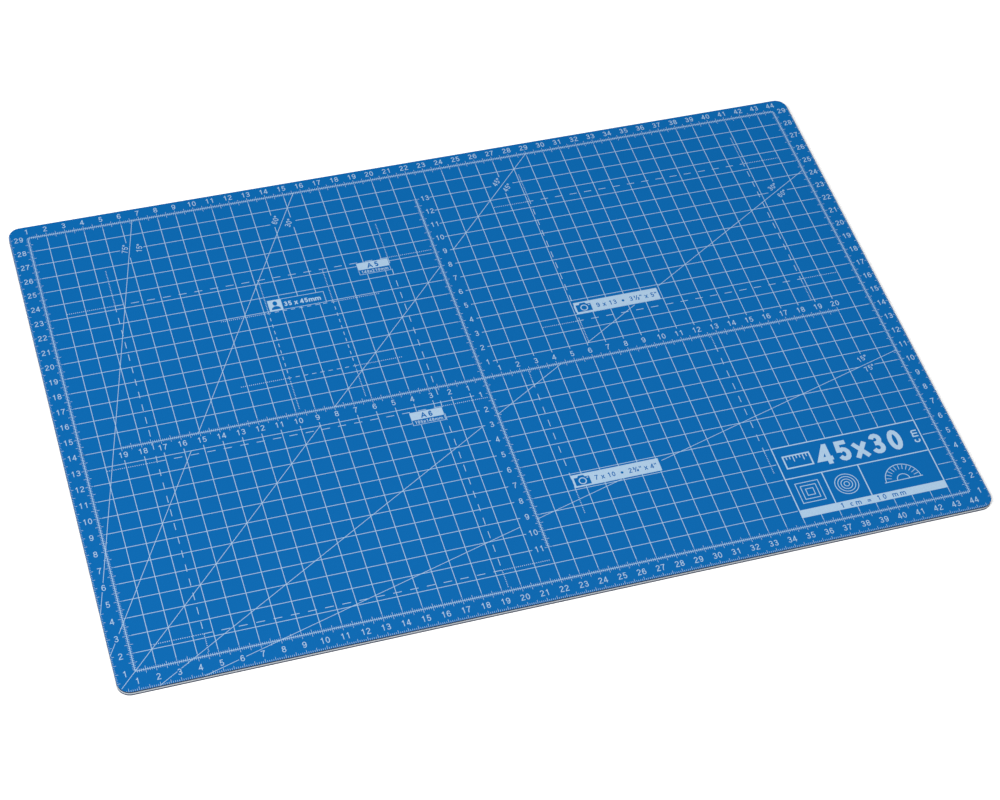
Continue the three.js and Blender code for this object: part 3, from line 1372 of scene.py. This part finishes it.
@dataclass
class AngleLines:
    """Lines at 15 to 75 degrees with the lettering that names them."""

    stroke: float = 0.28
    cap: float = 3.1
    runs: dict[int, tuple[Point, tuple[Span, ...]]] = field(default_factory=lambda: {
        15: ((42.7, 0.0), ((40.9, 58.2), (61.9, 210.0), (220.0, 269.0), (292.5, 439.7))),
        30: ((20.3, 0.0), ((19.5, 28.9), (31.1, 210.0), (220.0, 262.0), (280.6, 313.5),
                           (330.5, 439.7))),
        45: ((0.0, 0.0), ((2.0, 130.0), (140.0, 220.0), (230.0, 289.8))),
        60: ((0.0, 20.3), ((0.45, 4.0), (6.9, 63.3), (69.2, 155.7))),
        75: ((0.0, 42.7), ((0.45, 3.9), (5.3, 66.3))),
    })
    names: tuple[tuple[str, Point, float], ...] = (
        ("75°", (58.5, 270.5), 75.0), ("15°", (66.0, 269.5), 75.0),
        ("60°", (141.5, 272.7), 60.0), ("30°", (148.0, 269.0), 60.0),
        ("45°", (267.5, 272.5), 45.0), ("45°", (272.0, 267.2), 45.0),
        ("30°", (418.0, 233.8), 30.0), ("60°", (421.5, 227.8), 30.0),
        ("15°", (419.5, 105.2), 15.0), ("75°", (421.0, 98.3), 15.0),
    )

    def clear_areas(self) -> tuple[Rect, ...]:
        """Where the grid is left out round the lettering: a line along Y, then one along X.

        Returns:
            Rows of x0, y0, x1, y1, each so thin that it breaks only one line.
        """
        upright = ((60, 264.0, 274.8), (140, 267.8, 276.7), (150, 265.5, 273.0),
                   (270, 263.5, 276.0), (420, 223.3, 237.8), (420, 94.8, 108.4))
        level = ((270, 55.8, 68.3), (270, 138.0, 152.0), (270, 263.6, 276.0),
                 (230, 414.1, 425.4), (100, 416.3, 424.7))
        return (*((x - 1.0, y0, x + 1.0, y1) for x, y0, y1 in upright),
                *((x0, y - 1.0, x1, y + 1.0) for y, x0, x1 in level))

    def build(self, material: bpy.types.Material) -> None:
        """Draw each angle's runs as bars: from x to x, at the height that the slope gives.

        Args:
            material: The ink.
        """
        for degrees, (through, runs) in self.runs.items():
            slope = math.tan(math.radians(degrees))
            ends = np.array(runs)
            heights = through[1] + (ends - through[0]) * slope
            drawing = InkDrawing(Film.ANGLES)
            drawing.bars(np.stack([ends[:, 0], heights[:, 0]], 1),
                         np.stack([ends[:, 1], heights[:, 1]], 1), self.stroke)
            nodes = [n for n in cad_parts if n.startswith(f"angle_line_{degrees}_run_")]
            drawing.piece(f"angle_lines_{degrees}_print", material, Slot.INK, nodes)
        drawing = InkDrawing(Film.NUMERALS)
        lettering = Lettering(self.cap, Weight.REGULAR)
        for text, (x, y), degrees in self.names:
            turn = math.radians(degrees)
            foot = (x + math.sin(turn) * self.cap / 2, y - math.cos(turn) * self.cap / 2)
            lettering.write(drawing, text, foot, degrees)
        drawing.piece("angle_names_print", material, Slot.INK)


@dataclass(frozen=True)
class DashedLine:
    """A row of dashes or dots along one line."""

    start: Point
    along_x: bool
    pitch: float
    dash: float
    count: int
    centred: bool = False
    width: float = 0.34

    def rects(self) -> np.ndarray:
        """The dashes: each starts a whole number of pitches on, or stands about that place.

        Returns:
            Rows of x0, y0, x1, y1.
        """
        x, y = self.start
        first = (x if self.along_x else y) - (self.dash / 2 if self.centred else 0.0)
        begin = first + np.arange(self.count) * self.pitch
        end, line = begin + self.dash, np.full(self.count, y if self.along_x else x)
        half = self.width / 2
        if self.along_x:
            return np.stack([begin, line - half, end, line + half], 1)
        return np.stack([line - half, begin, line + half, end], 1)


@dataclass
class FormatOutlines:
    """Dashed outlines of paper and photo formats, with dotted lines that carry them on."""

    dot: float = 0.46
    dot_pitch: float = 1.06
    sheet_pitch: float = 8.46
    sheet_dash: float = 4.23
    sheet_x: Span = (45.5, 193.7)
    sheet_y: tuple[float, ...] = (232.5, 127.4, 22.4)
    portrait_x: Span = (122.3, 157.3)
    portrait_y: Span = (163.9, 208.9)
    large_x: Span = (281.2, 408.3)
    large_y: Span = (165.6, 254.5)
    small_x: Span = (244.1, 346.0)
    small_foot: float = 60.0

    def outlines(self) -> dict[str, list[DashedLine]]:
        """The dashed outlines.

        Returns:
            The dashed lines of each format.
        """
        pitch, dash = self.sheet_pitch, self.sheet_dash
        sheet = [DashedLine((self.sheet_x[0], y), True, pitch, dash, 18) for y in self.sheet_y]
        foot = self.sheet_y[0] - pitch * 24 - dash
        sheet += [DashedLine((x, foot), False, pitch, dash, 25) for x in self.sheet_x]
        left, low = self.portrait_x[0], self.portrait_y[0]
        portrait = [DashedLine((left, y), True, 4.375, 2.2, 9, True) for y in self.portrait_y]
        portrait += [DashedLine((x, low), False, 4.5, 2.2, 11, True) for x in self.portrait_x]
        left, low = self.large_x[0], self.large_y[0]
        large = [DashedLine((left, y), True, 127.1 / 15, 4.2, 16, True) for y in self.large_y]
        large += [DashedLine((x, low), False, 88.9 / 11, 4.2, 12, True) for x in self.large_x]
        small = [DashedLine((x, self.small_foot), False, 8.75, 4.2, 9, True)
                 for x in self.small_x]
        return {"a5_a6": sheet, "35_by_45": portrait, "9_by_13": large, "7_by_10": small}

    def dotted(self) -> np.ndarray:
        """The dotted lines as runs: which way, at what place, and from where to where.

        Returns:
            The dots, rows of x0, y0, x1, y1.
        """
        level = [(y, *run) for ys, runs in (
            (self.sheet_y, ((20.5, 45.0), (194.6, 218.6))),
            (self.portrait_y, ((97.0, 120.7), (158.9, 182.4))),
            (self.large_y, ((260.7, 278.8), (410.9, 430.0)))) for y in ys for run in runs]
        upright = [(x, *run) for xs, runs in (
            (self.sheet_x, ((12.4, 22.4), (233.0, 258.0))),
            (self.portrait_x, ((143.4, 162.4), (210.6, 232.2))),
            (self.large_x, ((150.2, 163.2), (257.0, 276.0))),
            (self.small_x, ((45.5, 57.6), (132.4, 139.0)))) for x in xs for run in runs]
        rows = []
        for along_x, lines in ((True, level), (False, upright)):
            for place, start, stop in lines:
                at = (start, place) if along_x else (place, start)
                count = int((stop - start) / self.dot_pitch) + 1
                rows.append(DashedLine(at, along_x, self.dot_pitch, self.dot, count, True,
                                       self.dot).rects())
        return np.concatenate(rows)

    def build(self, material: bpy.types.Material) -> None:
        """Draw the outlines, one piece a format, and the dotted lines.

        Args:
            material: The ink.
        """
        for name, lines in self.outlines().items():
            drawing = InkDrawing(Film.DASHES)
            for line in lines:
                drawing.rects(line.rects())
            drawing.piece(f"outline_{name}_print", material, Slot.INK)
        drawing = InkDrawing(Film.DASHES)
        drawing.rects(self.dotted())
        drawing.piece("dotted_lines_print", material, Slot.INK)


def camera_outline(x0: float, y0: float, x1: float, y1: float) -> np.ndarray:
    """A plain camera seen from the front: a body with a hump, counter-clockwise."""
    third = (x1 - x0) / 3
    hump = (y1 - y0) * 0.18
    body = y1 - hump
    return np.array([(x0, y0), (x1, y0), (x1, body), (x1 - third * 0.8, body),
                     (x1 - third * 1.05, y1), (x0 + third * 0.95, y1), (x0 + third * 0.7, body),
                     (x0, body)])


@dataclass
class LabelPlates:
    """The plates that name the formats. Their lettering is left clear, so the sheet shows."""

    ink: bpy.types.Material
    clear: bpy.types.Material
    lens_rise: float = 0.42
    lens_radius: float = 0.30
    lens_line: float = 0.55

    def clear_areas(self) -> tuple[Rect, ...]:
        """The areas where the grid is left out."""
        return ((123.2, 209.5, 154.1, 217.4), (175.8, 223.5, 193.3, 232.0),
                (175.8, 118.4, 193.3, 127.2), (281.2, 170.1, 328.8, 178.0),
                (244.1, 61.0, 291.0, 69.0))

    def drawn(self) -> tuple[InkDrawing, InkDrawing]:
        """A plate's ink and its clear lettering."""
        return InkDrawing(Film.PLATES), InkDrawing(Film.LETTERING)

    def finish(self, name: str, ink: InkDrawing, clear: InkDrawing, node: str) -> None:
        """Make the two pieces of a plate.

        Args:
            name: The plate's name.
            ink: The ink.
            clear: What shows the sheet's colour.
            node: The CAD node that they stand for.
        """
        ink.piece(f"{name}_print", self.ink, Slot.INK, (node,))
        clear.piece(f"{name}_clear_lettering", self.clear, Slot.WORK_SIDE)

    def portrait_plate(self) -> None:
        """The 35 by 45 plate: an outlined box, and a square with a plain figure."""
        ink, clear = self.drawn()
        ink.net([(123.3, 209.6, 154.0, 209.9), (123.3, 217.0, 154.0, 217.3),
                 (153.7, 209.6, 154.0, 217.3), (123.3, 209.6, 130.6, 217.3)])
        Lettering(3.1, Weight.BOLD, -0.02).write(ink, "35 x 45mm", (131.3, 211.8),
                                                 align=Align.LEFT)
        clear.shape(ring((127.0, 214.8), (1.25, 1.55), 16))
        shoulders = arc((127.0, 210.6), (2.5, 2.3), 0.0, 180.0, 12)
        clear.shape(shoulders)
        self.finish("label_plate_35_by_45", ink, clear, "label_plate_35_by_45")

    def paper_plate(self, name: str, title: str, size: str, foot: float) -> None:
        """A paper format's plate: its name clear in ink above, its size in ink below.

        Args:
            name: The format's name in the pieces' names.
            title: The format's name as it is printed.
            size: Its size as it is printed.
            foot: The plate's lowest line.
        """
        ink, clear = self.drawn()
        x0, x1 = 175.9, 193.25
        ink.rects([(x0, foot + 3.4, x1, foot + 8.4)])
        ink.net([(x0, foot, x1, foot + 0.25), (x0, foot, x0 + 0.25, foot + 3.1),
                 (x1 - 0.25, foot, x1, foot + 3.1)])
        Lettering(3.5, Weight.BOLD, 0.25).write(clear, title, ((x0 + x1) / 2, foot + 4.15))
        Lettering(2.0, Weight.MEDIUM).write(ink, size, ((x0 + x1) / 2, foot + 0.75))
        self.finish(f"label_plate_{name}", ink, clear, f"label_plate_{name}")

    def photo_plate(self, name: str, text: str, area: Rect, camera: Rect, at: Point,
                    cap: float) -> None:
        """A photo format's plate, filled with ink, with a plain camera and the sizes clear.

        Args:
            name: The format's name in the pieces' names.
            text: The sizes.
            area: The plate.
            camera: The camera's box.
            at: The left end of the lettering's baseline.
            cap: The lettering's height.
        """
        ink, clear = self.drawn()
        ink.rects([area])
        clear.shape(camera_outline(*camera))
        x0, y0, x1, y1 = camera
        lens = ((x0 + x1) / 2, y0 + (y1 - y0) * self.lens_rise)
        radius = (y1 - y0) * self.lens_radius
        lens_ink = InkDrawing(Film.LENS)
        lens_ink.stroke(ring(lens, (radius, radius), 20), self.lens_line, True)
        lens_ink.rects([(x1 - 1.5, y1 - 2.2, x1 - 0.7, y1 - 1.6)])
        Lettering(cap, Weight.MEDIUM, 0.02).write(clear, text, at, align=Align.LEFT)
        self.finish(f"label_plate_{name}", ink, clear, f"label_plate_{name}")
        lens_ink.piece(f"label_plate_{name}_lens_print", self.ink, Slot.INK)

    def build(self) -> None:
        """Build every plate."""
        self.portrait_plate()
        self.paper_plate("a5", "A5", "148x210mm", 223.6)
        self.paper_plate("a6", "A6", "105x148mm", 118.5)
        self.photo_plate("9_by_13", "9 x 13  •  3½\" x 5\"", (281.3, 170.2, 328.7, 178.0),
                         (282.1, 171.2, 290.5, 177.2), (293.0, 172.3), 3.1)
        self.photo_plate("7_by_10", "7 x 10  •  2¾\" x 4\"", (244.15, 61.0, 290.9, 68.9),
                         (245.2, 61.9, 253.4, 68.0), (255.6, 63.3), 3.0)


@dataclass
class CornerPanel:
    """The framed panel in the front right corner."""

    ink: bpy.types.Material
    clear: bpy.types.Material
    area: Rect = (350.0, 15.4, 430.0, 60.0)
    bar_top: float = 20.1
    shelf: float = 40.0
    dividers: tuple[float, float] = (370.0, 390.0)
    line: float = 0.6
    thin: float = 0.4
    squares: Point = (360.0, 30.0)
    rings: Point = (380.0, 30.0)
    protractor: Point = (410.0, 25.6)

    def frame_bars(self) -> list[Rect]:
        """The panel's lines and the solid bar at its foot.

        Returns:
            Rows of x0, y0, x1, y1.
        """
        x0, y0, x1, y1 = self.area
        half = self.line / 2
        bars = [(x0 - half, y0, x1 + half, self.bar_top)]
        bars += [(x0 - half, y - half, x1 + half, y + half) for y in (self.shelf, y1)]
        bars += [(x - half, y0, x + half, y1 + half) for x in (x0, x1)]
        bars += [(x - half, y0, x + half, self.shelf) for x in self.dividers]
        return bars

    def figures(self) -> None:
        """Plain geometric figures in the three fields: nested squares, rings and a protractor."""
        drawing = InkDrawing(Film.ANGLES)
        x, y = self.squares
        for half in (2.0, 4.1, 6.2):
            drawing.stroke([(x - half, y - half), (x + half, y - half), (x + half, y + half),
                            (x - half, y + half)], self.thin, True)
        for radius in (1.4, 3.0, 4.6, 6.2):
            drawing.stroke(ring(self.rings, (radius, radius), 28), self.thin, True)
        middle = np.array(self.protractor)
        for radius in (3.4, 9.6):
            half_ring = arc(self.protractor, (radius, radius), 0.0, 180.0, 28)
            drawing.stroke(half_ring, self.thin, order=1)
        drawing.stroke([middle - (10.6, 0.0), middle + (10.6, 0.0)], self.thin, order=2)
        turns = np.radians(np.arange(15.0, 180.0, 15.0))
        rays = np.stack([np.cos(turns), np.sin(turns)], 1)
        drawing.bars(middle + rays * 6.4, middle + rays * 9.2, 0.32)
        drawing.piece("panel_figures_print", self.ink, Slot.INK)

    def lettering(self) -> None:
        """A plain ruler, the scales' nominal size in large numerals, and their unit upright."""
        drawing = InkDrawing(Film.ANGLES)
        drawing.stroke([(353.8, 46.2), (368.2, 46.2), (368.2, 53.8), (353.8, 53.8)], 0.8, True)
        drawing.rects([(x - 0.25, 53.4 - reach, x + 0.25, 53.4) for x, reach in
                       zip(np.arange(355.6, 367.0, 1.8), (1.8, 1.8, 3.6, 1.8, 1.8, 3.6, 1.8))])
        Lettering(12.8, Weight.BOLD, 0.02).write(drawing, "45x30", (395.6, 43.9))
        Lettering(4.6, Weight.MEDIUM, 0.1).write(drawing, "cm", (428.6, 50.0), 90.0)
        drawing.piece("panel_lettering_print", self.ink, Slot.INK)
        clear = InkDrawing(Film.LETTERING)
        Lettering(3.1, Weight.MEDIUM, 0.28).write(clear, "1 cm = 10 mm", (389.6, 16.3))
        clear.piece("panel_bar_clear_lettering", self.clear, Slot.WORK_SIDE)

    def build(self) -> None:
        """Build the panel."""
        drawing = InkDrawing(Film.SCALES)
        drawing.net(self.frame_bars())
        drawing.piece("corner_panel_print", self.ink, Slot.INK, ("corner_panel",))
        self.figures()
        self.lettering()


@dataclass
class Artwork:
    """The whole screen print."""

    ink_finish: ScreenInk = ScreenInk(Slot.INK, (0.322, 0.447, 0.565), 0.55, 0.15)

    def build(self, effects: dict[str, bpy.types.NodeTree], sheet: bpy.types.Material) -> None:
        """Build every part of the print.

        Args:
            effects: The shared node groups, by name.
            sheet: The work side's finish, for lettering left clear of ink.
        """
        layout, ink = Layout(), self.ink_finish.made(effects)
        plates, panel, angles = LabelPlates(ink, sheet), CornerPanel(ink, sheet), AngleLines()
        x0, y0, x1, y1 = panel.area
        panel_area = (x0 - 1.0, y0, x1 + 1.0, y1 + 0.2)
        areas = (*plates.clear_areas(), *angles.clear_areas(), panel_area)
        CentimetreGrid(layout, areas).build(ink)
        scales = Scales(layout)
        scales.frame_scale(ink)
        scales.centre_scales(ink)
        EdgeMarks(layout).build(ink)
        Numerals(layout).build(ink)
        angles.build(ink)
        FormatOutlines().build(ink)
        plates.build()
        panel.build()


# ---------------------------------------------------------------- the studio


@dataclass
class Softbox:
    """A square lamp that faces a point on the mat."""

    name: str
    place: tuple[float, float, float]
    side: float
    power: float

    def build(self) -> None:
        """Hang the lamp."""
        light = bpy.data.lights.new(self.name, "AREA")
        light.shape = "SQUARE"
        light.size, light.energy = self.side, self.power
        lamp = bpy.data.objects.new(self.name, light)
        lamp.location = self.place
        lamp.rotation_euler = Vector(self.place).to_track_quat("Z", "Y").to_euler()
        bpy.context.scene.collection.objects.link(lamp)


@dataclass
class Studio:
    """A pale floor, soft light, and the camera above the front left of the mat."""

    floor_half: float = 12.0
    floor_gap: float = 0.00005
    floor_colour: Colour = (0.93, 0.93, 0.93)
    sky: float = 0.24
    azimuth: float = -22.35
    elevation: float = 51.29
    roll: float = 6.73
    lens: float = 86.42
    sensor: float = 36.0
    aim: tuple[float, float, float] = (-1.04, -24.63, 3.0)
    distance: float = 1238.44
    softboxes: tuple[Softbox, ...] = (
        Softbox("key_softbox", (-1.75, -0.95, 2.0), 1.6, 84.0),
        Softbox("top_softbox", (0.25, -0.35, 2.6), 1.8, 40.0),
    )

    def floor(self) -> None:
        """Lay the floor: a grid of one face, just under the mat."""
        reach = self.floor_half
        mesh = bpy.data.meshes.new("studio_floor")
        corners = [(-reach, -reach), (reach, -reach), (reach, reach), (-reach, reach)]
        mesh.from_pydata([(x, y, -self.floor_gap) for x, y in corners], [], [(0, 1, 2, 3)])
        material = bpy.data.materials.new("pale_floor")
        material.use_nodes = True
        shader = material.node_tree.nodes["Principled BSDF"]
        shader.inputs["Base Color"].default_value = (*self.floor_colour, 1.0)
        shader.inputs["Roughness"].default_value = 0.9
        shader.inputs["Specular IOR Level"].default_value = 0.1
        mesh.materials.append(material)
        floor = bpy.data.objects.new("studio_floor", mesh)
        bpy.context.scene.collection.objects.link(floor)

    def light(self) -> None:
        """Hang the softboxes and set the even light of the room.

        The room lights the mat at the sky's strength, and looks white where the camera sees it.
        """
        for softbox in self.softboxes:
            softbox.build()
        world = bpy.data.worlds.new("studio_room")
        world.use_nodes = True
        sheet, room = NodeSheet(world.node_tree), world.node_tree.nodes["Background"]
        seen = sheet.node("LightPath").outputs["Is Camera Ray"]
        more = sheet.maths("MULTIPLY", seen, 1.0 - self.sky)
        sheet.feed(room.inputs["Color"], (1.0, 1.0, 1.0, 1.0))
        sheet.feed(room.inputs["Strength"], sheet.maths("ADD", more, self.sky))
        bpy.context.scene.world = world

    def camera(self) -> None:
        """Set up the camera, looking at its aim from an azimuth and an elevation.

        The way back from the aim to the camera is (sin a cos e, -cos a cos e, sin e), and the
        camera then rolls about its own axis.
        """
        azimuth, elevation = math.radians(self.azimuth), math.radians(self.elevation)
        back = Vector((math.sin(azimuth) * math.cos(elevation),
                       -math.cos(azimuth) * math.cos(elevation), math.sin(elevation)))
        data = bpy.data.cameras.new("camera")
        data.sensor_width, data.lens = self.sensor, self.lens
        data.clip_start, data.clip_end = 0.05, 60.0
        camera = bpy.data.objects.new("camera", data)
        camera.rotation_mode = "QUATERNION"
        rolled = Quaternion((0.0, 0.0, 1.0), math.radians(self.roll))
        camera.rotation_quaternion = back.to_track_quat("Z", "Y") @ rolled
        aim = Vector([part * MM for part in self.aim])
        camera.location = aim + self.distance * MM * back
        bpy.context.scene.collection.objects.link(camera)
        bpy.context.scene.camera = camera

    def build(self) -> None:
        """Build the studio."""
        self.floor()
        self.light()
        self.camera()
        bpy.context.scene.view_settings.view_transform = "Standard"


def main() -> None:
    """Build the mat's plies, its print and the studio round it."""
    logging.basicConfig(level=logging.INFO, format="%(message)s")
    effects = {"grain": calendered_grain(), "tint": cloudy_tint(), "edge": die_cut_edge()}
    work_side = PlyStack().build(effects)
    Artwork().build(effects, work_side)
    Studio().build()
    bpy.context.view_layer.update()


if __name__ == "__main__":
    main()
